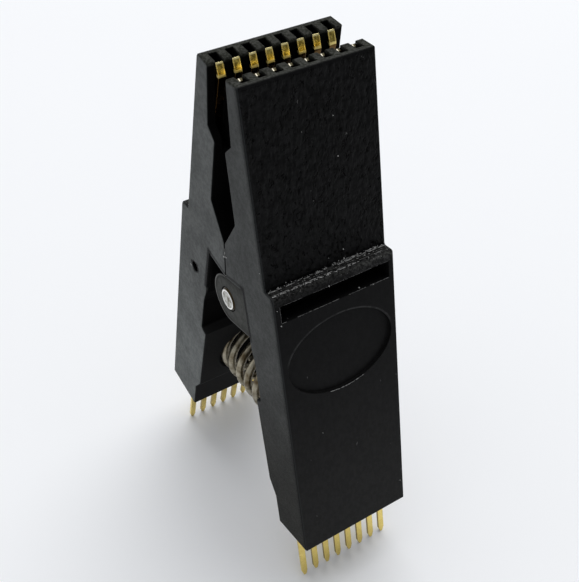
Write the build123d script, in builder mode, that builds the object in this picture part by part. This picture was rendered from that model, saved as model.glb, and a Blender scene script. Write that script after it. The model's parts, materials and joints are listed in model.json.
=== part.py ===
"""Spring-loaded test clip for a sixteen-lead small-outline chip.

Two equal moulded halves turn about one steel pin. Each half holds eight stamped contacts that run
from the comb in its jaw down to a row of header pins under its handle, and one compression spring
between the handles keeps the jaws shut.

Frame: X runs along the hinge pin, Y is the way the jaws open and Z is up. The origin lies on the
surface that the header pins stand on, midway between the two rows. The front half is on the -Y side.

The rear half is drawn in its own frame: "out" is measured square away from the hinge axis towards
the half's outer face, and "up" along the half from the hinge axis towards the jaw. The front half
is the same moulding turned half a turn about Z.
"""

import os
from math import cos, pi, radians, sin, tan

from build123d import *

# lead grid of the chip, and stance of the two halves
pitch = 1.27
contact_count = 8
half_tilt = 12.5

# contact strip: stock, barb, header pin and leaf
strip_thickness = 0.25
strip_width = 0.56
contact_out = 5.175
header_pin_length = 6.2
pin_tip_length = 0.5
pin_tip_width = 0.24
barb_up = -6.0
barb_land = 0.4
barb_lead = 0.5
nose_reach = 0.08
nose_drop = 1.05
leaf_end_reach = 0.5
leaf_end_drop = 0.2
leaf_bend_radius = 0.5

# hinge
pin_radius = 1.0
pin_end_chamfer = 0.12
pin_end_inset = 0.06
bore_clearance = 0.02
bore_mouth = 0.1
ear_radius = 2.2
ear_thickness = 1.4
ear_inset = 0.15
ear_gap = 0.1
shoulder_clearance = 0.1

# walls and clearances round the contacts
slot_clearance = 0.05
channel_clearance = 0.06
side_wall = 0.625
ledge_lip = 0.14
leaf_play = 1.25
slot_back_wall = 0.4
slot_foot_drop = 1.6

# jaw
jaw_tip_up = 19.4
jaw_tip_thickness = 1.45
jaw_tip_radius = 0.12
jaw_top_fall = 0.25
jaw_shoulder_radius = 0.15
comb_depth = 4.8
ledge_width = 1.05
ledge_fall = 0.7
throat_recess = 0.2
throat_rise = 2.5
stop_height = 3.4
stop_gap = 0.02
inner_corner_radius = 0.3

# handle
step_width = 1.0
step_rise = 0.07
step_foot_radius = 0.12
handle_top_up = 3.85
handle_top_radius = 0.3
handle_foot_drop = 22.4
notch_clearance = 0.92
notch_relief = 0.22
relief_top_drop = 3.0
relief_fall = 1.3
notch_foot_drop = 8.4
pad_step = 0.52
pad_rise = 0.25
pad_draft = 0.12
foot_recess_depth = 0.85
foot_recess_height = 3.3
foot_recess_rise = 1.6
edge_chamfer = 0.1

# window in the outer face, and the oval recess below it
window_margin = 0.5
window_height = 1.46
window_wall = 0.94
window_drop = 1.54
window_corner_radius = 0.1
oval_margin = 0.55
oval_height = 6.95
oval_drop = 7.0
oval_depth = 0.3

# round gate mark in one side face
gate_radius = 0.48
gate_depth = 0.3
gate_out = 5.2
gate_drop = 1.65

# spring
spring_radius = 3.25
wire_radius = 0.35
wire_flats = 8
active_turns = 7.5
closed_turns = 1
closed_coil_gap = 0.03
ground_depth = 0.15
spring_drop = 12.95
seat_wall = 0.6
pocket_clearance = 0.25
points_per_turn = 24

tilt_sin = sin(radians(half_tilt))
tilt_cos = cos(radians(half_tilt))
tilt_tan = tan(radians(half_tilt))

# across the clip
slot_width = strip_width + 2 * slot_clearance
side = (contact_count - 1) * pitch / 2 + slot_width / 2 + side_wall
contact_places = [(n - (contact_count - 1) / 2) * pitch for n in range(contact_count)]
outer_ear = side - ear_inset - ear_thickness / 2
inner_ear = outer_ear - ear_thickness - ear_gap

# outwards from the hinge
strip_in = contact_out - strip_thickness / 2
strip_out = contact_out + strip_thickness / 2
channel_in = strip_in - channel_clearance
channel_out = strip_out + channel_clearance
ledge_in = channel_in - ledge_lip
ledge_low_in = ledge_in - ledge_width
throat_in = ledge_low_in - throat_recess
slot_back_out = strip_out + leaf_play
jaw_out = slot_back_out + slot_back_wall
jaw_tip_in = jaw_out - jaw_tip_thickness
handle_out = jaw_out + step_width
notch_in = ear_radius + notch_clearance
relief_in = notch_in + notch_relief
pad_in = notch_in - pad_step
pad_foot_in = pad_in + pad_draft
foot_recess_in = pad_in + foot_recess_depth

# upwards along the half
jaw_shoulder_up = jaw_tip_up - jaw_top_fall
ledge_up = jaw_tip_up - comb_depth
ledge_low_up = ledge_up - ledge_fall
slot_foot_up = ledge_up - slot_foot_drop
jaw_foot_up = handle_top_up + step_rise
shoulder_up = ear_radius + shoulder_clearance
stop_top_up = shoulder_up + stop_height
throat_up = stop_top_up + throat_rise
relief_top_up = -relief_top_drop
notch_foot_up = -notch_foot_drop
pad_top_up = notch_foot_up - pad_rise
handle_foot_up = -handle_foot_drop
foot_recess_up = handle_foot_up + foot_recess_height
pad_foot_up = foot_recess_up + foot_recess_rise
contact_tip_up = handle_foot_up - header_pin_length

# heights above the ground, and the spring's seats on either side of mid-clip
hinge_height = -contact_tip_up * tilt_cos - strip_in * tilt_sin
spring_height = hinge_height - spring_drop
pocket_radius = spring_radius + pocket_clearance
seat_reach = (channel_in - seat_wall + (spring_drop - pocket_radius) * tilt_sin) / tilt_cos

# planes of the rear half: seen along the hinge, and seen through the handle from the inside
hinge_point = (0, 0, hinge_height)
half_plane = Plane(hinge_point, x_dir=(0, tilt_cos, tilt_sin), z_dir=(1, 0, 0))
face_plane = Plane(hinge_point, x_dir=(1, 0, 0), z_dir=(0, -tilt_cos, -tilt_sin))


def stop_face(up):
    """Point at this height on the face where the closed halves meet, upright in mid-clip."""
    return (up * tilt_tan + stop_gap / tilt_cos, up)


def corner(sketch, out, up):
    """The corner of a sketch nearest to a point."""
    return sketch.vertices().sort_by_distance((out, up, 0))[0]


# moulded half: profile along the hinge, ears and bore, comb, channels, recesses and spring pocket
with BuildPart() as rear_half:
    with BuildSketch(half_plane) as profile:
        with BuildLine():
            Polyline(
                (handle_out, handle_foot_up),
                (handle_out, handle_top_up),
                (jaw_out, jaw_foot_up),
                (jaw_out, jaw_shoulder_up),
                (jaw_tip_in, jaw_tip_up),
                (ledge_in, ledge_up),
                (ledge_low_in, ledge_low_up),
                (throat_in, throat_up),
                stop_face(stop_top_up),
                stop_face(shoulder_up),
                (notch_in, shoulder_up),
                (notch_in, relief_top_up),
                (relief_in, relief_top_up - relief_fall),
                (relief_in, notch_foot_up),
                (pad_in, pad_top_up),
                (pad_foot_in, pad_foot_up),
                (foot_recess_in, foot_recess_up),
                (foot_recess_in, handle_foot_up),
                close=True,
            )
        make_face()
        fillet(corner(profile, handle_out, handle_top_up), handle_top_radius)
        fillet(corner(profile, jaw_out, jaw_foot_up), step_foot_radius)
        fillet(corner(profile, jaw_out, jaw_shoulder_up), jaw_shoulder_radius)
        fillet(corner(profile, jaw_tip_in, jaw_tip_up), jaw_tip_radius)
        fillet(corner(profile, ledge_low_in, ledge_low_up), inner_corner_radius)
        fillet(corner(profile, throat_in, throat_up), inner_corner_radius)
        fillet(corner(profile, relief_in, notch_foot_up), inner_corner_radius)
    extrude(amount=side, both=True)
    chamfer(rear_half.faces().filter_by(Axis.X).edges(), edge_chamfer)

    with BuildSketch(half_plane.offset(-inner_ear), half_plane.offset(outer_ear)):
        Circle(ear_radius)
        with BuildLine():
            Polyline(
                (0, -ear_radius),
                (notch_in, -ear_radius),
                (notch_in, shoulder_up),
                stop_face(shoulder_up),
                (0, 0),
                close=True,
            )
        make_face()
    extrude(amount=ear_thickness / 2, both=True)

    with BuildSketch(half_plane):
        Circle(pin_radius + bore_clearance)
    extrude(amount=side, both=True, mode=Mode.SUBTRACT)
    bore_edges = rear_half.edges(Select.LAST).filter_by(GeomType.CIRCLE)
    chamfer(bore_edges, bore_mouth)

    with BuildSketch(*[half_plane.offset(place) for place in contact_places]):
        with BuildLine():
            Polyline(
                (channel_in, handle_foot_up),
                (channel_out, handle_foot_up),
                (channel_out, slot_foot_up),
                (slot_back_out, slot_foot_up),
                (slot_back_out, jaw_tip_up),
                (throat_in, jaw_tip_up),
                (throat_in, slot_foot_up),
                (channel_in, slot_foot_up),
                close=True,
            )
        make_face()
    extrude(amount=slot_width / 2, both=True, mode=Mode.SUBTRACT)

    with BuildSketch(face_plane.offset(-handle_out)):
        with Locations((0, handle_top_up - window_drop)):
            RectangleRounded(2 * (side - window_margin), window_height, window_corner_radius)
    extrude(amount=handle_out - channel_out - window_wall, mode=Mode.SUBTRACT)

    with BuildSketch(face_plane.offset(-handle_out)):
        with Locations((0, handle_top_up - oval_drop)):
            Ellipse(side - oval_margin, oval_height / 2)
    extrude(amount=oval_depth, mode=Mode.SUBTRACT)

    with BuildSketch(Plane.XZ.offset(-seat_reach)):
        with Locations((0, spring_height)):
            Circle(pocket_radius)
    extrude(amount=seat_reach, mode=Mode.SUBTRACT)

    with BuildSketch(half_plane.offset(-side)):
        with Locations((gate_out, -gate_drop)):
            Circle(gate_radius)
    extrude(amount=gate_depth, mode=Mode.SUBTRACT)

# front half: the same moulding, turned half a turn
with BuildPart() as front_half:
    add(rear_half.part, rotation=(0, 0, 180))

# hinge pin through the ears of both halves
with BuildPart() as hinge_pin:
    with BuildSketch(half_plane):
        Circle(pin_radius)
    extrude(amount=side - pin_end_inset, both=True)
    chamfer(hinge_pin.faces().filter_by(Axis.X).edges(), pin_end_chamfer)


def coil_points():
    """Centre line of the spring: a closed coil at each end and even turns between them."""
    closed_pitch = 2 * wire_radius + closed_coil_gap
    coil_radius = spring_radius - wire_radius
    reach = seat_reach - wire_radius + ground_depth
    active_pitch = 2 * (reach - closed_pitch * closed_turns) / active_turns
    turns = active_turns + 2 * closed_turns
    points = []
    for step in range(round(turns * points_per_turn) + 1):
        turn = step / points_per_turn
        active = min(max(turn - closed_turns, 0), active_turns)
        along = (turn - active) * closed_pitch + active * active_pitch - reach
        angle = 2 * pi * turn
        points.append((coil_radius * cos(angle), coil_radius * sin(angle), along))
    return points


# compression spring, with a closed and ground coil at each end
with BuildPart() as spring:
    with BuildLine(Plane((0, 0, spring_height), x_dir=(0, 0, 1), z_dir=(0, 1, 0))) as coil:
        Polyline(*coil_points())
    coil_path = coil.wire()
    with BuildSketch(Plane(coil_path @ 0, z_dir=coil_path % 0)):
        RegularPolygon(wire_radius, wire_flats, major_radius=False)
    sweep(path=coil_path, transition=Transition.RIGHT)
    split(bisect_by=Plane.XZ.offset(-seat_reach), keep=Keep.TOP)
    split(bisect_by=Plane.XZ.offset(seat_reach), keep=Keep.BOTTOM)


def stamped_contact(place):
    """One contact of the rear half: the bent strip, cut to the outline of its flat blank."""
    with BuildPart() as contact:
        with BuildSketch(half_plane.offset(place)):
            with BuildLine():
                FilletPolyline(
                    (strip_in, contact_tip_up),
                    (strip_in, ledge_up),
                    (strip_in - nose_reach, jaw_tip_up - nose_drop),
                    (strip_in + leaf_end_reach, jaw_tip_up - leaf_end_drop),
                    radius=leaf_bend_radius,
                )
                offset(amount=strip_thickness, side=Side.RIGHT)
            make_face()
        extrude(amount=slot_width, both=True)
        with BuildSketch(face_plane.offset(-handle_out)):
            with BuildLine():
                Polyline(
                    (place, contact_tip_up),
                    (place + pin_tip_width / 2, contact_tip_up),
                    (place + strip_width / 2, contact_tip_up + pin_tip_length),
                    (place + strip_width / 2, barb_up),
                    (place + slot_width / 2, barb_up),
                    (place + slot_width / 2, barb_up + barb_land),
                    (place + strip_width / 2, barb_up + barb_land + barb_lead),
                    (place + strip_width / 2, jaw_tip_up),
                    (place, jaw_tip_up),
                )
                mirror(about=Plane.YZ.offset(place))
            make_face()
        extrude(amount=handle_out, mode=Mode.INTERSECT)
    return contact.part


os.makedirs("parts", exist_ok=True)
pieces = {
    "front_half": front_half.part,
    "rear_half": rear_half.part,
    "hinge_pin": hinge_pin.part,
    "spring": spring.part,
}
for number, place in enumerate(contact_places, start=1):
    pieces[f"contact_rear_{number}"] = stamped_contact(place)
    pieces[f"contact_front_{number}"] = stamped_contact(-place).rotate(Axis.Z, 180)

for name, piece in pieces.items():
    piece.label = name
    export_step(piece, f"parts/{name}.step")
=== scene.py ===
"""Looks of the spring-loaded test clip for a sixteen-lead small-outline chip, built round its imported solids.

Objects are in metres in the clip's own frame: X along the hinge pin, -Y towards the front half, Z up from
the tips of the header pins. Sizes and places on the clip itself are written in mm.
"""

import json
import random
from math import cos, radians, sin, tau
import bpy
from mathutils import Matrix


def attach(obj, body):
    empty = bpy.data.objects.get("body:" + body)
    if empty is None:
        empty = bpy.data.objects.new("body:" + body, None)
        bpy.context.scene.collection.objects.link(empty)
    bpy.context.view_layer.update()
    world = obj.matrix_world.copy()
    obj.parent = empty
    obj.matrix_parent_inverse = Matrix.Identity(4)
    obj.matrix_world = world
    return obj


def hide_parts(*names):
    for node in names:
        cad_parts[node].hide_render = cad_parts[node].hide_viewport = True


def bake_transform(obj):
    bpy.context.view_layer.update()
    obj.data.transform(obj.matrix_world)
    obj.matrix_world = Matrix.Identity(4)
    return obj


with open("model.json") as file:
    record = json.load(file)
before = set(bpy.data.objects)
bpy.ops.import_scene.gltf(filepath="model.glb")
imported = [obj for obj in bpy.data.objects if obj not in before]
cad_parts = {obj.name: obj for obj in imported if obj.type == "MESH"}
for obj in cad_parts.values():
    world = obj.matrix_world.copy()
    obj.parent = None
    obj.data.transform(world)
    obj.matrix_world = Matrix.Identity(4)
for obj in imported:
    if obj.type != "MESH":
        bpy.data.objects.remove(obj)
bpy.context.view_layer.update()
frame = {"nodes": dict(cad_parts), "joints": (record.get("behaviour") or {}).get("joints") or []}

from types import SimpleNamespace

import bmesh
import bpy
from mathutils import Matrix, Vector

scene = bpy.context.scene

# The view of the photograph: a camera on a stand in front of the clip, to its left and well above it.
# The lens has little perspective, and the picture is cut a little off the lens's middle.
view_azimuth = radians(-32.91)
view_elevation = radians(44.2)
view_roll = radians(0.858)
view_distance = 0.078995
view_target = Vector((0.001547, 0.002063, 0.020))
straight_up = Vector((0, 0, 1))
towards_camera = Vector(
    (
        sin(view_azimuth) * cos(view_elevation),
        -cos(view_azimuth) * cos(view_elevation),
        sin(view_elevation),
    )
)
level_right = (-towards_camera).cross(straight_up).normalized()
level_up = towards_camera.cross(level_right)
camera_right = cos(view_roll) * level_right + sin(view_roll) * level_up
camera_up = cos(view_roll) * level_up - sin(view_roll) * level_right
camera_turn = Matrix((camera_right, camera_up, towards_camera)).transposed()
camera_place = view_target + view_distance * towards_camera

camera = bpy.data.objects.new("camera", bpy.data.cameras.new("camera"))
camera.data.lens = 54.25
camera.data.shift_x = 0.0072
camera.data.shift_y = 0.0393
camera.data.clip_start = 0.001
camera.data.clip_end = 10
camera.matrix_world = Matrix.Translation(camera_place) @ camera_turn.to_4x4()
scene.collection.objects.link(camera)
scene.camera = camera
scene.view_settings.view_transform = "Standard"

# The table: a wide sheet of matt white paper that the clip stands on, with the faint cloudiness of paper.
# It is one flat sheet, made as a grid and laid a hair below the tips of the header pins.
paper_reach = 1.5
paper_steps = 12
paper_drop = 0.00002
paper_shade = (0.92, 0.93, 0.94)
paper_light = (0.945, 0.95, 0.96)


def feed(tree, node, joined):
    """Feeds a node: joined pairs each input with a value or with the output that it is fed from."""
    for name, value in joined:
        if isinstance(value, bpy.types.NodeSocket):
            tree.links.new(value, node.inputs[name])
        else:
            node.inputs[name].default_value = value


def add_node(tree, kind, joined=(), **settings):
    """Adds a shader node of a kind with its settings, and feeds its inputs."""
    made = tree.nodes.new(kind)
    for field, value in settings.items():
        setattr(made, field, value)
    feed(tree, made, joined)
    return made


def new_material(name):
    """An empty node material and its Principled shader, joined to the output."""
    material = bpy.data.materials.new(name)
    material.use_nodes = True
    tree = material.node_tree
    tree.nodes.clear()
    shader = add_node(tree, "ShaderNodeBsdfPrincipled")
    add_node(tree, "ShaderNodeOutputMaterial", [("Surface", shader.outputs[0])])
    return material, tree, shader


def finish(tree, shader, colour, roughness, metallic=0.0):
    """Gives a shader its colour, its roughness, and 1 for metal or 0 for anything else."""
    feed(tree, shader, [("Base Color", colour), ("Roughness", roughness), ("Metallic", metallic)])


def blend_colours(tree, share, first, second):
    """A colour between two others, first where share is 0 and second where it is 1."""
    share_input, first_input, second_input, colour_output = 0, 6, 7, 2
    mix = add_node(tree, "ShaderNodeMix", [(share_input, share)], data_type="RGBA", clamp_factor=True)
    for place, colour in ((first_input, first), (second_input, second)):
        plain = not isinstance(colour, bpy.types.NodeSocket)
        feed(tree, mix, [(place, (*colour, 1) if plain else colour)])
    return mix.outputs[colour_output]


def ramp(tree, value, low, high, to_low=0.0, to_high=1.0):
    """Value drawn smoothly from the span low to high onto the span to_low to to_high."""
    spans = [("From Min", low), ("From Max", high), ("To Min", to_low), ("To Max", to_high)]
    joined = [("Value", value)] + spans
    return add_node(tree, "ShaderNodeMapRange", joined, interpolation_type="SMOOTHSTEP").outputs[0]


def calc(tree, operation, first, second=0.0):
    """The result of one sum on two values."""
    return add_node(tree, "ShaderNodeMath", [(0, first), (1, second)], operation=operation).outputs[0]


def noise(tree, place, scale, detail=3.0, roughness=0.5, stretch=(1, 1, 1)):
    """Soft cloudy noise from 0 to 1 at a place, with its cells drawn out along the axes of stretch."""
    drawn = add_node(tree, "ShaderNodeMapping", [("Vector", place), ("Scale", stretch)]).outputs[0]
    joined = [("Vector", drawn), ("Scale", scale), ("Detail", detail), ("Roughness", roughness)]
    return add_node(tree, "ShaderNodeTexNoise", joined).outputs[0]


def add_piece(name, points, faces, material, smooth=True):
    """A mesh object from its points in metres and its faces."""
    mesh = bpy.data.meshes.new(name)
    mesh.from_pydata(points, [], faces)
    mesh.materials.append(material)
    mesh.shade_smooth() if smooth else mesh.shade_flat()
    piece = bpy.data.objects.new(name, mesh)
    scene.collection.objects.link(piece)
    return piece


paper_white, paper_tree, paper_shader = new_material("paper_white")
paper_place = add_node(paper_tree, "ShaderNodeTexCoord").outputs["Object"]
paper_cloud = noise(paper_tree, paper_place, scale=9.0, detail=4.0)
paper_colour = blend_colours(paper_tree, paper_cloud, paper_shade, paper_light)
finish(paper_tree, paper_shader, paper_colour, roughness=0.9)
paper_shader.inputs["Specular IOR Level"].default_value = 0.1

paper_lines = [paper_reach * (step / paper_steps - 0.5) * 2 for step in range(paper_steps + 1)]
paper_points = [(x, y, -paper_drop) for x in paper_lines for y in paper_lines]
paper_faces = []
for row in range(paper_steps):
    for column in range(paper_steps):
        corner = row * (paper_steps + 1) + column
        paper_faces.append((corner, corner + paper_steps + 1, corner + paper_steps + 2, corner + 1))
add_piece("paper_sheet", paper_points, paper_faces, paper_white)

# The light of a plain studio: a white room that is dimmer on the side of the camera, and one large soft
# lamp high up behind the clip and to its right, which leaves a soft shadow in front of it and to its left.
white_wall = (0.93, 0.945, 0.965)
wall_by_camera = (0.34, 0.35, 0.36)
light_from_back = (0.66, 0.67, 0.69)
light_from_camera = (0.40, 0.41, 0.43)
dim_until = -0.5
bright_from = 0.4

room = bpy.data.worlds.new("white_room")
scene.world = room
room.use_nodes = True
room_tree = room.node_tree
room_tree.nodes.clear()
ray = add_node(room_tree, "ShaderNodeLightPath").outputs
seen = calc(room_tree, "MAXIMUM", ray["Is Camera Ray"], ray["Is Transmission Ray"])
room_way = add_node(room_tree, "ShaderNodeTexCoord").outputs["Generated"]
way_back = add_node(room_tree, "ShaderNodeSeparateXYZ", [(0, room_way)]).outputs["Y"]
behind = ramp(room_tree, way_back, dim_until, bright_from)
room_cast = blend_colours(room_tree, behind, light_from_camera, light_from_back)
room_mirrored = blend_colours(room_tree, behind, wall_by_camera, white_wall)
room_unseen = blend_colours(room_tree, ray["Is Glossy Ray"], room_cast, room_mirrored)
room_colour = blend_colours(room_tree, seen, room_unseen, white_wall)
room_light = add_node(room_tree, "ShaderNodeBackground", [("Color", room_colour), ("Strength", 1.0)])
add_node(room_tree, "ShaderNodeOutputWorld", [("Surface", room_light.outputs[0])])

lamp = bpy.data.objects.new("soft_lamp", bpy.data.lights.new("soft_lamp", "AREA"))
lamp.data.shape = "DISK"
lamp.data.size = 1.0
lamp.data.energy = 5.6
lamp.location = (0.26, 0.22, 0.92)
lamp.rotation_euler = (-lamp.location).to_track_quat("-Z", "Y").to_euler()
scene.collection.objects.link(lamp)

# The two halves of the clip: one moulding in black glass-filled nylon, used twice and turned half a turn.
# The outer face of the jaw came off a coarsely grained tool, the handle and the sides off plainer ones, and
# the sides have a greyer bloom that is partly painted reflection. The two halves get a shaded and a lit copy
# of the material, and the inside is painted darker as shade.
mm_per_m = 1000
half_tilt = radians(12.5)
hinge_height = mm_per_m * frame["joints"][0]["pos_m"][2]
body_side = 5.4
jaw_out = 6.95
handle_out = 7.95
step_top = 3.85
step_foot = 3.92
jaw_tip_up = 19.4
handle_foot = -22.4
ear_side = 5.25
ear_edge = 3.12
ear_radius = 2.2
pad_out = 3.9
pad_up = -8.2
window_high = 3.04
oval_middle_up = -3.15
oval_half_width = 4.85
oval_half_height = 3.475
gate_out = 5.2
gate_up = -1.65
gate_radius = 0.6
# the place of the painted shade of an ejector mark on the side
ejector_shade_out = 5.5
ejector_shade_up = -15.2
shoulder_up = 2.64
edge_rounding = 0.06
plastic_gloss = 0.045


def half_place(tree, turned):
    """Place in a half's own frame, in mm: across the half, out from the hinge, and up from it."""
    flip = -mm_per_m if turned else mm_per_m
    joined = [
        ("Vector", add_node(tree, "ShaderNodeTexCoord").outputs["Object"]),
        ("Location", (0, -hinge_height * sin(half_tilt), -hinge_height * cos(half_tilt))),
        ("Rotation", (-half_tilt, 0, 0)),
        ("Scale", (flip, flip, mm_per_m)),
    ]
    return add_node(tree, "ShaderNodeMapping", joined).outputs[0]


def both(tree, *shares):
    """The product of several shares."""
    result = shares[0]
    for share in shares[1:]:
        result = calc(tree, "MULTIPLY", result, share)
    return result


def near(tree, value, middle, reach):
    """A share of 1 where value is at middle, falling to 0 at reach either side."""
    away = calc(tree, "ABSOLUTE", calc(tree, "SUBTRACT", value, middle))
    return ramp(tree, away, reach, reach * 0.4)


def cloudy(tree, cloud, to_low=0.0, to_high=1.0):
    """A noise's usual values, which are 0.3 to 0.7, drawn onto the span to_low to to_high."""
    return ramp(tree, cloud, 0.3, 0.7, to_low, to_high)


def mottled(tree, colour, share, low, high):
    """A colour made low to high times as bright as share goes from 0 to 1."""
    joined = [(0, colour), ("Scale", ramp(tree, share, 0.0, 1.0, low, high))]
    return add_node(tree, "ShaderNodeVectorMath", joined, operation="SCALE").outputs[0]


def reach_from(tree, first, second):
    """The length of the way that goes first one way and second square to it."""
    squares = calc(tree, "ADD", calc(tree, "POWER", first, 2.0), calc(tree, "POWER", second, 2.0))
    return calc(tree, "SQRT", squares)


def side_reach(tree, half, out, up):
    """How far a point of the side lies from a place on it."""
    return reach_from(tree, calc(tree, "SUBTRACT", half.out, out), calc(tree, "SUBTRACT", half.up, up))


def add_bump(tree, shader, height, strength, depth, rounding=0.0):
    """Bump from a height, to a depth in mm, over edges that look rounded to a radius in mm."""
    joined = [("Height", height), ("Strength", strength), ("Distance", depth / mm_per_m)]
    if rounding:
        edges = add_node(tree, "ShaderNodeBevel", [("Radius", rounding / mm_per_m)], samples=4)
        joined.append(("Normal", edges.outputs[0]))
    feed(tree, shader, [("Normal", add_node(tree, "ShaderNodeBump", joined).outputs[0])])


def drawn_place(tree, place):
    """The place on a half bent by a swirl and drawn out up the half, which the tool's grain follows."""
    joined = [("Vector", place), ("Scale", 1.8), ("Detail", 2.0)]
    swirl = add_node(tree, "ShaderNodeTexNoise", joined).outputs[1]
    warp = add_node(tree, "ShaderNodeVectorMath", [(0, place), (1, swirl)], operation="ADD").outputs[0]
    return add_node(tree, "ShaderNodeMapping", [("Vector", warp), ("Scale", (1.0, 1.0, 0.45))]).outputs[0]


def pebbled(tree, drawn):
    """The pebbles of the coarse grain: 0 in the middle of each and 1 at its rim."""
    joined = [("Vector", drawn), ("Scale", 2.7), ("Smoothness", 0.3), ("Randomness", 1.0)]
    cell = add_node(tree, "ShaderNodeTexVoronoi", joined, feature="SMOOTH_F1").outputs["Distance"]
    return ramp(tree, cell, 0.10, 0.36)


def read_half(tree, turned):
    """Where a point lies on a half, whether it is on a side or outside, and the noises of the plastic."""
    place = half_place(tree, turned)
    drawn = drawn_place(tree, place)
    across, out, up = add_node(tree, "ShaderNodeSeparateXYZ", [(0, place)]).outputs
    width = calc(tree, "ABSOLUTE", across)
    on_side = ramp(tree, width, body_side - 0.05, body_side - 0.01)
    off_side = calc(tree, "SUBTRACT", 1.0, on_side)
    return SimpleNamespace(
        place=place,
        drawn=drawn,
        across=across,
        out=out,
        up=up,
        width=width,
        on_side=on_side,
        off_side=off_side,
        outside=both(tree, ramp(tree, out, jaw_out - 0.3, jaw_out - 0.15), off_side),
        pebble=pebbled(tree, drawn),
        mottle=noise(tree, place, scale=2.2, detail=3.0, roughness=0.65),
        speckle=noise(tree, place, scale=9.0, detail=2.0),
        scuffs=ramp(tree, noise(tree, place, scale=5.0, detail=3.0, roughness=0.7), 0.35, 0.65),
    )


def jaw_share(tree, half):
    """The outer face of the jaw, from above the step to just under the tip."""
    above_step = ramp(tree, half.up, step_foot, step_foot + 0.3)
    under_tip = ramp(tree, half.up, jaw_tip_up - 0.3, jaw_tip_up - 0.6)
    return both(tree, half.outside, above_step, under_tip)


def grained_jaw(tree, half, on_jaw, colour):
    """The coarse grain of the jaw: nearly black in the pebbles and paler at their rims."""
    pebble_black = (0.0003, 0.0003, 0.0003)
    rim_black = (0.0050, 0.0050, 0.0051)
    grain = blend_colours(tree, half.pebble, pebble_black, rim_black)
    grain = mottled(tree, grain, cloudy(tree, half.mottle), 0.5, 1.5)
    return blend_colours(tree, on_jaw, colour, grain)


def paler_pad(tree, half, colour):
    """The inner face of the handle's foot, a paler grey than the rest of the inside."""
    grey = (0.016, 0.016, 0.0158)
    inward = ramp(tree, half.out, pad_out, pad_out - 0.2)
    downward = ramp(tree, half.up, pad_up, pad_up - 0.3)
    return blend_colours(tree, both(tree, inward, downward, half.off_side), colour, grey)


def satin_handle(tree, half, on_handle, colour):
    """The satin outer face of the handle, paler towards its foot."""
    upper = (0.0050, 0.0050, 0.0051)
    lower = (0.0143, 0.0142, 0.0138)
    satin = blend_colours(tree, ramp(tree, half.up, 2.0, handle_foot), upper, lower)
    streaks = noise(tree, half.place, scale=3.2, detail=4.0, roughness=0.6, stretch=(1, 1, 0.6))
    satin = mottled(tree, satin, cloudy(tree, streaks), 0.86, 1.16)
    return blend_colours(tree, on_handle, colour, satin)


def scuffed_band(tree, half, on_handle, colour):
    """The narrow band between the window and the step, scuffed and paler towards one end."""
    by_window = (0.009, 0.009, 0.009)
    by_step = (0.024, 0.024, 0.0225)
    band = blend_colours(tree, ramp(tree, half.up, window_high + 0.2, step_top), by_window, by_step)
    band = mottled(tree, band, ramp(tree, half.across, 1.0, -4.8), 0.72, 1.8)
    band = mottled(tree, band, half.scuffs, 0.3, 1.7)
    on_band = both(tree, on_handle, ramp(tree, half.up, window_high, window_high + 0.06))
    return blend_colours(tree, on_band, colour, band)


def scuffed_step(tree, half, colour):
    """The top of the step, scuffed grey in patches."""
    grey = mottled(tree, (0.016, 0.016, 0.0155), half.scuffs, 0.1, 1.9)
    past_jaw = ramp(tree, half.out, jaw_out + 0.02, jaw_out + 0.1)
    on_step = both(tree, past_jaw, near(tree, half.up, step_foot, 0.25), half.off_side)
    return blend_colours(tree, on_step, colour, grey)


def corner_highlights(tree, half, colour):
    """The long outer corners, painted a little grey as a highlight where they catch the light."""
    grey = (0.03, 0.032, 0.033)
    on_corner = both(tree, half.outside, ramp(tree, half.width, body_side - 0.13, body_side - 0.08))
    return blend_colours(tree, calc(tree, "MULTIPLY", on_corner, 0.6), colour, grey)


def oval_rim_highlight_and_wear(tree, half, colour):
    """The upper rim of the oval recess, painted grey: partly wear and partly a painted highlight where the rim
    catches the light.
    """
    oval_across = calc(tree, "DIVIDE", half.across, oval_half_width)
    oval_up = calc(tree, "DIVIDE", calc(tree, "SUBTRACT", half.up, oval_middle_up), oval_half_height)
    on_rim = both(
        tree,
        near(tree, reach_from(tree, oval_across, oval_up), 1.01, 0.035),
        ramp(tree, oval_up, 0.1, 0.5),
        ramp(tree, half.out, handle_out - 0.06, handle_out - 0.02),
        half.off_side,
    )
    tone_and_highlight = mottled(tree, (0.032, 0.032, 0.032), ramp(tree, half.mottle, 0.35, 0.6), 0.5, 1.0)
    return blend_colours(tree, on_rim, colour, tone_and_highlight)


def gate_shade_share(tree, half):
    """The round scar where the plastic ran in, on one side of the half, with a torn edge, painted dark as the
    shade in its recess.
    """
    torn = cloudy(tree, half.mottle, -0.1, 0.1)
    torn_reach = calc(tree, "ADD", side_reach(tree, half, gate_out, gate_up), torn)
    in_scar = ramp(tree, torn_reach, gate_radius + 0.12, gate_radius)
    return both(tree, in_scar, ramp(tree, half.across, 0.4 - body_side, 0.2 - body_side))


def shoulder_share(tree, half):
    """The line of shade under the shoulder beside the hinge."""
    beside_hinge = both(tree, ramp(tree, half.out, 0.4, 0.7), ramp(tree, half.out, 3.3, 3.1))
    return both(tree, near(tree, half.up, shoulder_up, 0.2), beside_hinge)


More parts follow.
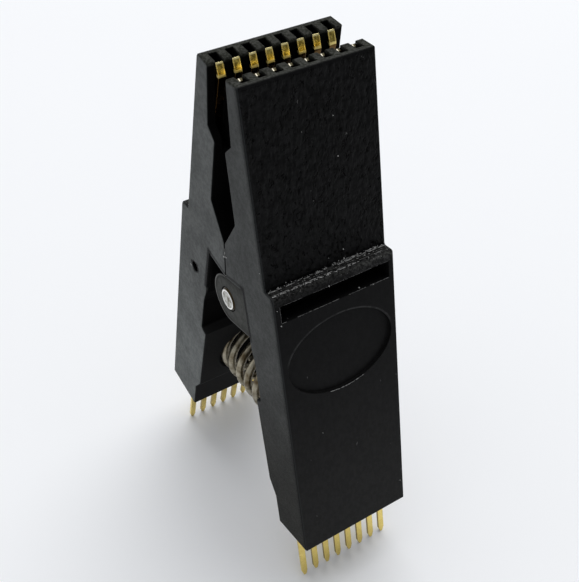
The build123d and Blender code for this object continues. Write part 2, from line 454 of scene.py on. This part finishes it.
def side_bloom_and_light(tree, half, colour, upper, lower, painted_edge_light):
    """The grey of the sides, partly a bloom and partly painted reflection, cloudy on two scales, painted
    lighter or darker at the outer edge, with painted shade at an ejector mark, in the gate scar and under the
    shoulder.
    """
    bloom_and_light = blend_colours(tree, ramp(tree, half.up, 1.0, handle_foot + 4.0), upper, lower)
    bloom_and_light = mottled(tree, bloom_and_light, cloudy(tree, half.mottle), 0.84, 1.13)
    wide_cloud = noise(tree, half.place, scale=0.35, detail=4.0)
    bloom_and_light = mottled(tree, bloom_and_light, cloudy(tree, wide_cloud), 0.86, 1.12)
    # the side is painted darker or lighter along its outer edge, as light falling on it
    outer_edge = ramp(tree, half.up, step_foot, step_top, jaw_out, handle_out)
    at_edge = ramp(tree, calc(tree, "SUBTRACT", outer_edge, half.out), 0.7, 0.0)
    bloom_and_light = mottled(tree, bloom_and_light, at_edge, 1.0, painted_edge_light)
    # painted shade of an ejector mark: a soft darker spot on the side of the handle
    off_ejector_shade = ramp(tree, side_reach(tree, half, ejector_shade_out, ejector_shade_up), 0.25, 0.7)
    bloom_and_light = mottled(tree, bloom_and_light, off_ejector_shade, 0.82, 1.0)
    bloom_and_light = mottled(tree, bloom_and_light, gate_shade_share(tree, half), 1.0, 0.12)
    bloom_and_light = mottled(tree, bloom_and_light, shoulder_share(tree, half), 1.0, 0.4)
    return blend_colours(tree, half.on_side, colour, bloom_and_light)


def ears_with_edge_highlights(tree, half, colour):
    """The outer faces of the ears, with painted highlights along their edges and a darker groove inside them.
    """
    ear_grey = (0.064, 0.065, 0.061)
    edge_highlight_grey = (0.15, 0.15, 0.142)
    ear_reach = reach_from(tree, half.out, half.up)
    past_hinge = ramp(tree, half.out, 0.3, 0.0)
    edge_foot = both(tree, near(tree, half.up, 0.05 - ear_radius, 0.11), ramp(tree, half.out, 0.0, 0.3))
    edge_round = both(tree, near(tree, ear_reach, ear_radius - 0.05, 0.11), past_hinge)
    groove = both(tree, near(tree, ear_reach, ear_radius - 0.24, 0.12), past_hinge)
    tone_and_highlight = mottled(tree, ear_grey, cloudy(tree, half.mottle), 0.85, 1.15)
    tone_and_highlight = blend_colours(tree, calc(tree, "MAXIMUM", edge_foot, edge_round), tone_and_highlight, edge_highlight_grey)
    tone_and_highlight = mottled(tree, tone_and_highlight, groove, 1.0, 0.72)
    on_ear = both(
        tree,
        ramp(tree, half.width, ear_side - 0.04, ear_side - 0.01),
        ramp(tree, half.out, ear_edge + 0.1, ear_edge + 0.05),
        near(tree, half.up, 0.0, 3.2),
        half.off_side,
    )
    return blend_colours(tree, on_ear, colour, tone_and_highlight)


def scuffed_top(tree, half, colour):
    """The top of the jaw, scuffed and paler towards its outer face."""
    plain = (0.024, 0.025, 0.020)
    scuffed = (0.058, 0.059, 0.053)
    top = blend_colours(tree, ramp(tree, half.scuffs, 0.2, 0.8), plain, scuffed)
    top = mottled(tree, top, ramp(tree, half.out, 5.7, 6.9), 0.75, 1.3)
    on_top = ramp(tree, half.up, jaw_tip_up - 0.35, jaw_tip_up - 0.1)
    return blend_colours(tree, on_top, colour, top)


def glints_and_dust(tree, half, colour):
    """A few painted glints, highlights in the outer faces, and a thin speckled dust all over."""
    glint_grey = (0.075, 0.075, 0.073)
    dust = (0.05, 0.05, 0.05)
    joined = [("Vector", half.drawn), ("Scale", 1.1), ("Randomness", 1.0)]
    fleck = add_node(tree, "ShaderNodeTexVoronoi", joined, feature="F1")
    chosen = add_node(tree, "ShaderNodeSeparateXYZ", [(0, fleck.outputs["Color"])]).outputs[0]
    in_fleck = ramp(tree, fleck.outputs["Distance"], 0.10, 0.05)
    painted_glint = both(tree, in_fleck, ramp(tree, chosen, 0.68, 0.72), half.outside)
    dusty = calc(tree, "MULTIPLY", ramp(tree, half.speckle, 0.64, 0.78), 0.15)
    return blend_colours(tree, dusty, blend_colours(tree, painted_glint, colour, glint_grey), dust)


def crevice_shade_and_smudge(tree, half, colour):
    """Painted shade in the line where an ear meets its side, and a dark smudge at the corner of the step."""
    crevice_shade = both(
        tree,
        near(tree, half.out, ear_edge + 0.1, 0.44),
        ramp(tree, half.width, 4.9, 5.1),
        ramp(tree, half.up, 3.0, 2.6),
        ramp(tree, half.up, -2.5, -2.1),
    )
    at_step = both(tree, near(tree, half.out, handle_out, 0.5), near(tree, half.up, step_top, 0.6))
    smudge = calc(tree, "MULTIPLY", both(tree, at_step, half.on_side), 0.8)
    return blend_colours(tree, calc(tree, "MAXIMUM", crevice_shade, smudge), colour, (0.004, 0.004, 0.004))


def grain_height(tree, half, on_jaw):
    """The height of the surface: a fine grain all over, and the jaw's pebbles and pits."""
    pits = ramp(tree, noise(tree, half.place, scale=3.0, detail=2.0, stretch=(1, 1, 0.5)), 0.35, 0.6)
    coarse = calc(tree, "ADD", calc(tree, "MULTIPLY", half.pebble, 1.5), calc(tree, "MULTIPLY", pits, 0.6))
    fine = noise(tree, half.place, scale=14.0, detail=3.0, roughness=0.6)
    return calc(tree, "ADD", calc(tree, "MULTIPLY", fine, 0.12), both(tree, coarse, on_jaw))


def plastic_roughness(tree, half):
    """Satin outside, a little duller on the sides and much duller in the hollows."""
    rough = cloudy(tree, half.speckle, 0.40, 0.54)
    inside = both(tree, ramp(tree, half.out, jaw_out - 0.15, jaw_out - 0.3), half.off_side)
    rough = calc(tree, "ADD", rough, calc(tree, "MULTIPLY", inside, 0.4))
    return calc(tree, "ADD", rough, calc(tree, "MULTIPLY", half.on_side, 0.06))


def moulded_black(name, turned, upper_bloom_and_light, lower_bloom_and_light, painted_edge_light):
    """The black moulding: grain on the jaw, satin on the handle, bloom and painted reflection on the sides,
    and painted shade inside.
    """
    shaded_inner_black = (0.0012, 0.0012, 0.0012)
    outer_black = (0.0035, 0.0035, 0.004)
    material, tree, shader = new_material(name)
    half = read_half(tree, turned)
    on_jaw = jaw_share(tree, half)
    on_handle = both(tree, ramp(tree, half.out, handle_out - 0.4, handle_out - 0.3), half.off_side)
    # the inside of the half is painted darker than its outside, as shade
    colour = blend_colours(tree, half.outside, shaded_inner_black, outer_black)
    colour = grained_jaw(tree, half, on_jaw, colour)
    colour = paler_pad(tree, half, colour)
    colour = satin_handle(tree, half, on_handle, colour)
    colour = scuffed_band(tree, half, on_handle, colour)
    colour = scuffed_step(tree, half, colour)
    colour = corner_highlights(tree, half, colour)
    colour = oval_rim_highlight_and_wear(tree, half, colour)
    colour = side_bloom_and_light(tree, half, colour, upper_bloom_and_light, lower_bloom_and_light, painted_edge_light)
    colour = ears_with_edge_highlights(tree, half, colour)
    colour = scuffed_top(tree, half, colour)
    colour = glints_and_dust(tree, half, colour)
    colour = crevice_shade_and_smudge(tree, half, colour)
    finish(tree, shader, colour, plastic_roughness(tree, half))
    shader.inputs["Specular IOR Level"].default_value = plastic_gloss
    relief = grain_height(tree, half, on_jaw)
    add_bump(tree, shader, relief, strength=1.0, depth=0.08, rounding=edge_rounding)
    return material


# The front half gets a shaded copy of the moulding and the rear half a lit one: the front half's sides are
# painted darker, most of all towards the foot and at the outer edge, and the rear half's sides paler.
frame["nodes"]["front_half"].material_slots[0].material = moulded_black(
    "moulded_black_shaded_front",
    turned=True,
    upper_bloom_and_light=(0.051, 0.0535, 0.052),
    lower_bloom_and_light=(0.0188, 0.0188, 0.0165),
    painted_edge_light=0.4,
)
frame["nodes"]["rear_half"].material_slots[0].material = moulded_black(
    "moulded_black_lit_rear",
    turned=False,
    upper_bloom_and_light=(0.086, 0.090, 0.088),
    lower_bloom_and_light=(0.119, 0.127, 0.124),
    painted_edge_light=1.05,
)

# Flash: where the tool's inserts meet, a ragged film of the nylon was squeezed out and partly rubbed off. It
# stands along the step, round the window and at a nick on the seam, paler than the moulding, and crumbs of
# it are stuck about. Its pale grey is partly a painted highlight where these edges catch the light.
window_side = 4.88
window_low = 1.58
flash_seeds = {"front": 11, "rear": 29}
film_step = 0.05
film_run = (0.15, 0.9)
film_gap = (0.01, 0.09)
film_sunk = 0.03
film_heights = (0.35, 1.0)
film_widths = (0.6, 1.0)
film_sway = (-0.35, 0.35)
film_end_height = 0.25
film_taper = 2.5
foot_half = 0.5
crest_half = 0.22
crumb_unevenness = (0.65, 1.15)
crumb_sizes = (0.5, 1.2)


def place_in_mm(tree, origin=(0, 0, 0)):
    """Place in the clip's own frame, in mm, counted from an origin in it."""
    joined = [
        ("Vector", add_node(tree, "ShaderNodeTexCoord").outputs["Object"]),
        ("Location", tuple(-value for value in origin)),
        ("Scale", (mm_per_m, mm_per_m, mm_per_m)),
    ]
    return add_node(tree, "ShaderNodeMapping", joined).outputs[0]


def flash_film(name, dull, pale):
    """The film of squeezed-out plastic, clouded from dull to pale; the pale is partly a painted highlight."""
    material, tree, shader = new_material(name)
    place = place_in_mm(tree)
    cloud = noise(tree, place, scale=4.5, detail=4.0, roughness=0.6)
    colour = blend_colours(tree, ramp(tree, cloud, 0.35, 0.58), dull, pale)
    finish(tree, shader, colour, cloudy(tree, cloud, 0.35, 0.6))
    add_bump(tree, shader, noise(tree, place, scale=12.0), strength=0.6, depth=0.02)
    return material


def from_half(turned, across, out, up):
    """A point in metres from its place in a half's own frame in mm."""
    y = out * cos(half_tilt) - up * sin(half_tilt)
    z = hinge_height + out * sin(half_tilt) + up * cos(half_tilt)
    return Vector((-across, -y, z) if turned else (across, y, z)) / mm_per_m


def close_run(faces, first, count):
    """The faces of one run of film, which has four points at each of its steps."""
    last = first + 4 * count
    faces.append((first, first + 1, first + 2, first + 3))
    faces.append((last + 3, last + 2, last + 1, last))
    for step in range(count):
        for side in range(4):
            here = first + 4 * step + side
            beside = first + 4 * step + (side + 1) % 4
            faces.append((here, here + 4, beside + 4, beside))


def add_ridge(points, faces, chance, turned, start, end, rise, width, height, share):
    """A ragged line of flash from start to end: short closed runs of uneven height, standing up in rise."""
    start, end, rise = Vector(start), Vector(end), Vector(rise).normalized()
    along = (end - start).normalized()
    beside = along.cross(rise)
    line_length = (end - start).length
    travelled = 0.0
    while travelled < line_length - film_step:
        run = min(chance.uniform(*film_run), line_length - travelled)
        if chance.random() > share:
            travelled += run * 0.5
            continue
        count = max(2, round(run / film_step))
        first = len(points)
        for step in range(count + 1):
            taper = min(1.0, film_taper * min(step, count - step) / count + film_end_height)
            tall = height * taper * chance.uniform(*film_heights)
            thick = width * chance.uniform(*film_widths)
            sway = width * chance.uniform(*film_sway)
            middle = start + (travelled + run * step / count) * along + sway * beside
            foot = ((-foot_half, -film_sunk), (foot_half, -film_sunk))
            crest = ((crest_half, tall), (-crest_half, tall))
            for to_side, lift in foot + crest:
                points.append(from_half(turned, *(middle + to_side * thick * beside + lift * rise)))
        close_run(faces, first, count)
        travelled += run + chance.uniform(*film_gap)


def add_crumb(points, faces, chance, turned, place, size):
    """An uneven grain of plastic stuck on the surface."""
    grain = bmesh.new()
    bmesh.ops.create_icosphere(grain, subdivisions=1, radius=size)
    first = len(points)
    for corner in grain.verts:
        uneven = corner.co * chance.uniform(*crumb_unevenness)
        points.append(from_half(turned, *(Vector(place) + uneven)))
    faces.extend(tuple(first + corner.index for corner in face.verts) for face in grain.faces)
    grain.free()


def scatter_crumbs(points, faces, chance, turned, start, end, count, spread, size):
    """Crumbs of plastic strewn along a line, straying up and down from it."""
    start, end = Vector(start), Vector(end)
    for _ in range(count):
        place = start.lerp(end, chance.random())
        place.z += chance.gauss(0.0, spread)
        add_crumb(points, faces, chance, turned, place, size * chance.uniform(*crumb_sizes))


def add_stray(name, body, points, faces, material):
    """Stray plastic on a half: it rides on the half and has the material it is given."""
    stray = add_piece(name + "_" + body, points, faces, material, smooth=False)
    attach(stray, body)


flash_grey_and_highlight = flash_film("flash_grey_and_highlight", (0.04, 0.04, 0.038), (0.46, 0.46, 0.445))
flash_dull = flash_film("flash_dull", (0.02, 0.02, 0.02), (0.12, 0.12, 0.117))
step_lines = (
    # across, out and up of both ends, the way it stands, width, height and how much of the line is left
    ((5.3, jaw_out, 3.90), (-5.3, jaw_out, 3.93), (0, 1, 1), 0.11, 0.09, 1.0),
    ((5.2, 7.08, 3.92), (-5.3, 7.08, 3.92), (0, 0, 1), 0.05, 0.05, 0.5),
    ((-1.9, jaw_out, 3.98), (-4.6, jaw_out, 3.99), (0, 1, 1), 0.07, 0.07, 0.8),
    ((5.25, 7.68, 3.84), (-2.4, 7.68, 3.84), (0, 0.4, 1), 0.12, 0.08, 0.97),
    ((5.1, 7.56, 3.87), (-5.1, 7.56, 3.87), (0, 0, 1), 0.05, 0.05, 0.6),
    ((5.1, 7.78, 3.80), (-5.1, 7.78, 3.80), (0, 1, 1), 0.05, 0.04, 0.45),
)
seam_lines = (
    # the same for the seam above the hinge and for the nick in it
    ((body_side, 1.27, 5.7), (body_side, 0.57, 2.5), (1, 0, 0), 0.03, 0.02, 0.2),
    ((body_side, 0.74, 4.36), (body_side, 1.32, 4.45), (1, 0, 0), 0.13, 0.05, 1.0),
)
window_high_end = (window_side, handle_out, window_high)
window_high_far_end = (-window_side, handle_out, window_high)
window_low_end = (window_side, handle_out, window_low)
window_low_far_end = (-window_side, handle_out, window_low)
window_lines = (
    # the same for the upper edge of the window, its lower edge and one end
    (window_high_end, window_high_far_end, (0, 1, 0), 0.035, 0.02, 0.5),
    (window_low_end, window_low_far_end, (0, 1, 0), 0.04, 0.025, 0.8),
    (window_high_end, window_low_end, (0, 1, 0), 0.035, 0.02, 0.7),
)
crumb_lines = (
    # across, out and up of both ends, how many crumbs, how far they stray and their size
    ((5.3, 6.96, 3.93), (-5.3, 6.96, 3.95), 90, 0.05, 0.035),
    ((-0.6, 6.96, 4.00), (-5.2, 6.96, 3.98), 50, 0.08, 0.04),
    ((5.2, 7.3, 3.90), (-5.2, 7.3, 3.90), 60, 0.01, 0.028),
    ((5.2, 7.68, 3.85), (-5.2, 7.68, 3.85), 80, 0.03, 0.035),
    ((5.2, 7.93, 3.45), (-5.2, 7.93, 3.45), 70, 0.2, 0.022),
)
crumbs = (
    # across, out, up and size
    (4.95, handle_out, 1.42, 0.075),
    (0.59, handle_out, 3.06, 0.07),
    (-2.1, 7.9, 1.78, 0.07),
    (-3.35, handle_out, 1.58, 0.055),
    (5.13, handle_out, 2.8, 0.04),
    (-1.3, 6.97, 4.0, 0.10),
    (-1.55, jaw_out, 4.08, 0.06),
    (-1.05, jaw_out, 4.12, 0.06),
    (-0.75, 6.96, 3.98, 0.07),
    (-1.9, jaw_out, 4.05, 0.05),
    (-0.5, jaw_out, 4.05, 0.04),
    (5.39, 6.54, 5.44, 0.05),
    (5.39, 0.86, 4.36, 0.07),
    (5.39, 1.02, 4.41, 0.06),
    (-0.2, jaw_out, 4.7, 0.045),
    (-1.56, jaw_out, 4.93, 0.05),
    (3.6, jaw_out, 4.14, 0.05),
    (4.3, 6.97, 3.98, 0.07),
    (-5.37, 5.83, -2.25, 0.08),
    (-5.38, 5.95, -2.18, 0.06),
    (-5.38, 5.76, -2.08, 0.06),
    (-3.2, 7.3, 3.92, 0.06),
    (2.2, 7.3, 3.92, 0.05),
    # the next five, on the outer face of the jaw, are pale specks that stand in for glints: painted highlights
    (-1.58, jaw_out, 15.34, 0.045),
    (1.01, jaw_out, 14.94, 0.035),
    (-1.73, jaw_out, 12.34, 0.045),
    (0.73, jaw_out, 10.49, 0.035),
    (0.6, jaw_out, 9.67, 0.03),
    (2.43, handle_out, -10.28, 0.035),
    (3.91, handle_out, -18.93, 0.035),
    (-5.03, handle_out, -20.09, 0.04),
)
for body, seed in flash_seeds.items():
    chance = random.Random(seed)
    turned = body == "front"
    flash_points, flash_faces = [], []
    for line in step_lines + seam_lines:
        add_ridge(flash_points, flash_faces, chance, turned, *line)
    for line in crumb_lines:
        scatter_crumbs(flash_points, flash_faces, chance, turned, *line)
    for *crumb_place, crumb_size in crumbs:
        add_crumb(flash_points, flash_faces, chance, turned, crumb_place, crumb_size)
    add_stray("mould_flash", body, flash_points, flash_faces, flash_grey_and_highlight)
    film_points, film_faces = [], []
    for line in window_lines:
        add_ridge(film_points, film_faces, chance, turned, *line)
    add_stray("window_film", body, film_points, film_faces, flash_dull)

# The lip of the oval: the insert that makes the recess below the window has left a low ragged burr of the
# same black nylon along its lower edge. Its bright grey is a painted highlight where the rounded edge catches
# the light.
burr_start = radians(247)
burr_end = radians(286)
burr_runs = 7
burr_outset = 0.04
burr_width = 0.05
burr_height = 0.035
burr_share = 0.9

burr_corners = []
for step in range(burr_runs + 1):
    burr_angle = burr_start + (burr_end - burr_start) * step / burr_runs
    burr_across = (oval_half_width + burr_outset) * cos(burr_angle)
    burr_up = oval_middle_up + (oval_half_height + burr_outset) * sin(burr_angle)
    burr_corners.append((burr_across, handle_out, burr_up))
for body, seed in flash_seeds.items():
    chance = random.Random(seed + 1)
    turned = body == "front"
    lip_points, lip_faces = [], []
    for start, end in zip(burr_corners, burr_corners[1:]):
        line = (start, end, (0, 1, 0), burr_width, burr_height, burr_share)
        add_ridge(lip_points, lip_faces, chance, turned, *line)
    add_stray("oval_lip", body, lip_points, lip_faces, flash_grey_and_highlight)

# The hinge pin: a ground steel pin pressed through the ears, with turned rings on its end faces, a bright
# painted highlight ring near the rim of each end face, and round the rim a dark ring, partly a film of oil
# and partly painted shade of the gap round the pin.
pin_dull = (0.13, 0.12, 0.09)
pin_bright = (0.52, 0.52, 0.49)
pin_ring_shine = (0.8, 0.8, 0.78)
pin_oil_and_shade = (0.035, 0.025, 0.012)
pin_ring = 0.8
pin_rim = 0.9
ring_turn = 70.0

pin_steel, pin_tree, pin_shader = new_material("pin_steel")
pin_place = place_in_mm(pin_tree, origin=(0, 0, hinge_height))
pin_y, pin_z = add_node(pin_tree, "ShaderNodeSeparateXYZ", [(0, pin_place)]).outputs[1:3]
pin_reach = reach_from(pin_tree, pin_y, pin_z)
pin_spots = noise(pin_tree, pin_place, scale=3.0, detail=3.0, roughness=0.6)
pin_colour = blend_colours(pin_tree, ramp(pin_tree, pin_spots, 0.35, 0.65), pin_dull, pin_bright)
on_ring = near(pin_tree, pin_reach, pin_ring, 0.09)
pin_colour = blend_colours(pin_tree, on_ring, pin_colour, pin_ring_shine)
in_oil_and_shade = ramp(pin_tree, pin_reach, pin_rim - 0.04, pin_rim)
pin_colour = blend_colours(pin_tree, in_oil_and_shade, pin_colour, pin_oil_and_shade)
pin_cloud = noise(pin_tree, pin_place, scale=2.2, detail=4.0)
finish(pin_tree, pin_shader, pin_colour, cloudy(pin_tree, pin_cloud, 0.28, 0.45), metallic=1.0)
turned_rings = calc(pin_tree, "SINE", calc(pin_tree, "MULTIPLY", pin_reach, ring_turn))
add_bump(pin_tree, pin_shader, turned_rings, strength=0.25, depth=0.01)
frame["nodes"]["hinge_pin"].material_slots[0].material = pin_steel

# The spring: music wire wound cold, its end coils closed and ground flat on their seats. The wire has fine
# drawing lines along it and the brown tint of the heat that set it.
wire_radius = 0.4
coil_radius = 2.85
spring_height = 13.879
seat_reach = 6.5916
ground_depth = 0.15
closed_turns = 1
active_turns = 7.5
closed_pitch = 0.83
steps_per_turn = 56
steps_round = 16
wire_reach = seat_reach - wire_radius + ground_depth
active_pitch = 2 * (wire_reach - closed_pitch * closed_turns) / active_turns
wire_steps = round((active_turns + 2 * closed_turns) * steps_per_turn)
wire_brown = (0.10, 0.075, 0.042)
wire_grey = (0.38, 0.35, 0.27)
# painted shade: the upper coils towards the front, under the handles, are painted a darker brown
shaded_brown = (0.07, 0.045, 0.022)
shade_start = 13.0
shade_full = 20.0
drawing_stretch = (0.4, 4.0, 0.4)

spring_steel, spring_tree, spring_shader = new_material("spring_steel")
spring_place = place_in_mm(spring_tree)
wire_y, wire_z = add_node(spring_tree, "ShaderNodeSeparateXYZ", [(0, spring_place)]).outputs[1:3]
up_in_front = calc(spring_tree, "SUBTRACT", wire_z, wire_y)
in_painted_shade = calc(spring_tree, "MULTIPLY", ramp(spring_tree, up_in_front, shade_start, shade_full), 0.8)
heat = noise(spring_tree, spring_place, scale=0.9, detail=4.0)
wire_colour = blend_colours(spring_tree, ramp(spring_tree, heat, 0.35, 0.65), wire_brown, wire_grey)
wire_colour = blend_colours(spring_tree, in_painted_shade, wire_colour, shaded_brown)
finish(spring_tree, spring_shader, wire_colour, cloudy(spring_tree, heat, 0.3, 0.42), metallic=1.0)
drawing_lines = noise(spring_tree, spring_place, scale=6.0, roughness=0.6, stretch=drawing_stretch)
add_bump(spring_tree, spring_shader, drawing_lines, strength=0.3, depth=0.01)


def wire_ring(turn):
    """The ring of points round the wire after a number of turns, in metres, ground flat at the seats."""
    active = min(max(turn - closed_turns, 0), active_turns)
    along = (turn - active) * closed_pitch + active * active_pitch - wire_reach
    outward = Vector((sin(tau * turn), 0, cos(tau * turn)))
    ring = []
    for side in range(steps_round):
        angle = tau * side / steps_round
        x, _, z = (coil_radius + wire_radius * cos(angle)) * outward
        y = min(max(along + wire_radius * sin(angle), -seat_reach), seat_reach)
        ring.append((x / mm_per_m, y / mm_per_m, (z + spring_height) / mm_per_m))
    return ring


spring_points = []
for step in range(wire_steps + 1):
    spring_points += wire_ring(step / steps_per_turn)
first_end = tuple(range(steps_round))
last_end = tuple(reversed(range(wire_steps * steps_round, len(spring_points))))
spring_faces = [first_end, last_end]
for step in range(wire_steps):
    for side in range(steps_round):
        first = step * steps_round + side
        second = step * steps_round + (side + 1) % steps_round
        spring_faces.append((first, first + steps_round, second + steps_round, second))
spring = add_piece("wound_spring", spring_points, spring_faces, spring_steel)
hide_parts("spring")
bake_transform(spring)

# The sixteen contacts: stamped from phosphor-bronze strip and gold plated. Each has a bent leaf in the jaw's
# comb, a barbed shank pushed up its channel, and a pointed header pin under the foot.
half_pitch = 0.635
nose_height = 45.82
leaf_height = 46.76
end_face_height = 46.4
header_pins_below = 20.0
leaves_above = 30.0
outermost_lit_flank = 4.7
header_pale = (0.73, 0.55, 0.13)
header_bright = (0.94, 0.76, 0.27)
leaf_dull = (0.17, 0.12, 0.02)
leaf_worn = (0.54, 0.42, 0.11)
# painted highlights: along the edges of each leaf, at the bend of its nose and on its top end
leaf_edge_highlight = (0.92, 0.70, 0.22)
nose_shine = (1.0, 0.84, 0.34)
end_shine = (0.97, 0.84, 0.42)
# painted shade on the leaf under its nose, where it bends away
shade_under_nose = (0.10, 0.055, 0.015)
# painted shade on the flanks between the header pins, cast by their neighbours
flank_shade_gold = (0.28, 0.20, 0.045)
cut_end_highlight = (0.36, 0.33, 0.27)
cut_dark = (0.04, 0.035, 0.02)

contact_gold, gold_tree, gold_shader = new_material("contact_gold")
gold_place = place_in_mm(gold_tree)
gold_x, _, gold_z = add_node(gold_tree, "ShaderNodeSeparateXYZ", [(0, gold_place)]).outputs
facing = add_node(gold_tree, "ShaderNodeNewGeometry").outputs["True Normal"]
facing_x, _, facing_z = add_node(gold_tree, "ShaderNodeSeparateXYZ", [(0, facing)]).outputs
aside = calc(gold_tree, "SUBTRACT", half_pitch, calc(gold_tree, "PINGPONG", gold_x, half_pitch))
wear = noise(gold_tree, gold_place, scale=3.5, detail=3.0, roughness=0.6)
at_nose = near(gold_tree, gold_z, nose_height + 0.08, 0.13)
below_nose = ramp(gold_tree, gold_z, nose_height + 0.02, nose_height - 0.06)
at_end = ramp(gold_tree, gold_z, leaf_height - 0.14, leaf_height - 0.07)
in_jaw = ramp(gold_tree, gold_z, header_pins_below, leaves_above)

header_gold = blend_colours(gold_tree, wear, header_pale, header_bright)
leaf_gold = blend_colours(gold_tree, ramp(gold_tree, wear, 0.35, 0.65), leaf_dull, leaf_worn)
leaf_gold = blend_colours(gold_tree, ramp(gold_tree, aside, 0.16, 0.25), leaf_gold, leaf_edge_highlight)
leaf_gold = blend_colours(gold_tree, at_nose, leaf_gold, nose_shine)
leaf_gold = blend_colours(gold_tree, at_end, leaf_gold, end_shine)
leaf_gold = blend_colours(gold_tree, below_nose, leaf_gold, shade_under_nose)
gold_colour = blend_colours(gold_tree, in_jaw, header_gold, leaf_gold)

# The flanks between the pins are painted darker as the shade of their neighbours; the outermost flanks stay
# lit.
shaded_flank = both(
    gold_tree,
    ramp(gold_tree, calc(gold_tree, "ABSOLUTE", facing_x), 0.6, 0.8),
    ramp(gold_tree, calc(gold_tree, "ABSOLUTE", gold_x), outermost_lit_flank, outermost_lit_flank - 0.2),
    ramp(gold_tree, gold_z, leaves_above, header_pins_below),
)
gold_colour = blend_colours(gold_tree, shaded_flank, gold_colour, flank_shade_gold)
# the cut top ends: dull dark steel with a painted highlight in the middle
on_end_face = ramp(gold_tree, gold_z, end_face_height, end_face_height + 0.1)
cut_end = both(gold_tree, on_end_face, ramp(gold_tree, facing_z, 0.75, 0.85))
end_colour = blend_colours(gold_tree, ramp(gold_tree, aside, 0.02, 0.055), cut_end_highlight, cut_dark)
gold_colour = blend_colours(gold_tree, cut_end, gold_colour, end_colour)

plating = noise(gold_tree, gold_place, scale=1.4, detail=5.0)
polish = cloudy(gold_tree, plating, 0.16, 0.3)
gold_rough = calc(gold_tree, "ADD", polish, calc(gold_tree, "MULTIPLY", at_nose, 0.3))
finish(gold_tree, gold_shader, gold_colour, gold_rough, metallic=1.0)
rolled = noise(gold_tree, gold_place, scale=8.0, detail=3.0, roughness=0.6, stretch=(3.0, 3.0, 0.3))
add_bump(gold_tree, gold_shader, rolled, strength=0.35, depth=0.01, rounding=0.05)
for name, node in frame["nodes"].items():
    if name.startswith("contact_"):
        node.material_slots[0].material = contact_gold
